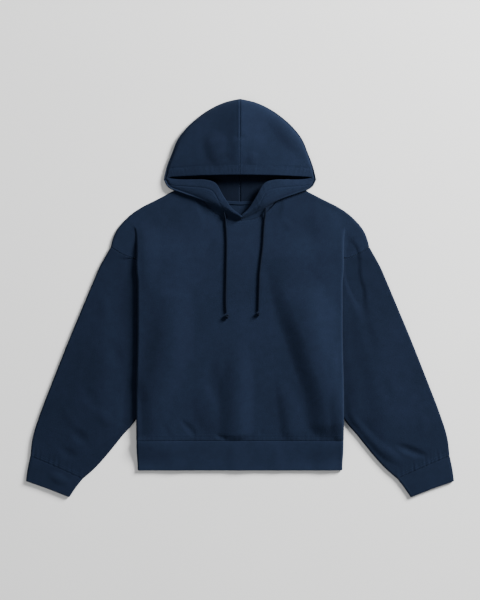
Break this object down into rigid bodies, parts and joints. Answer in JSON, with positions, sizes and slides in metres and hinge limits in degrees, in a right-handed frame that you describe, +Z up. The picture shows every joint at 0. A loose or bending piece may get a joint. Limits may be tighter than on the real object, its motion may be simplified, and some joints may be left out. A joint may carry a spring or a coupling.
{
  "type": "pullover hoodie",
  "caption": "Pullover hooded sweatshirt in dark fleece with dropped shoulders, banded cuffs and hem and a drawstring, lying flat on its back",
  "frame": {"origin": "centre of the laid garment's box, on the surface it lies on", "axes": "+X across the garment to the right of the picture, +Y from the hem to the hood, +Z up from the surface"},
  "size_m": [1.0264, 0.9549, 0.0216],
  "materials": {
    "fleece": "matt brushed fleece, fine jersey face",
    "rib": "matt fine rib",
    "tape": "flat herringbone tape",
    "cord": "round braided cord"
  },
  "bodies": {
    "root": {"body_front": "fleece", "body_back": "fleece", "hem_band": "rib", "sleeve_left": "fleece", "sleeve_right": "fleece", "cuff_left": "rib", "cuff_right": "rib", "hood_left": "fleece", "hood_right": "fleece", "neck_tape": "tape", "cord_left": "cord", "cord_right": "cord", "knot_left": "cord", "knot_right": "cord"}
  },
  "joints": []
}
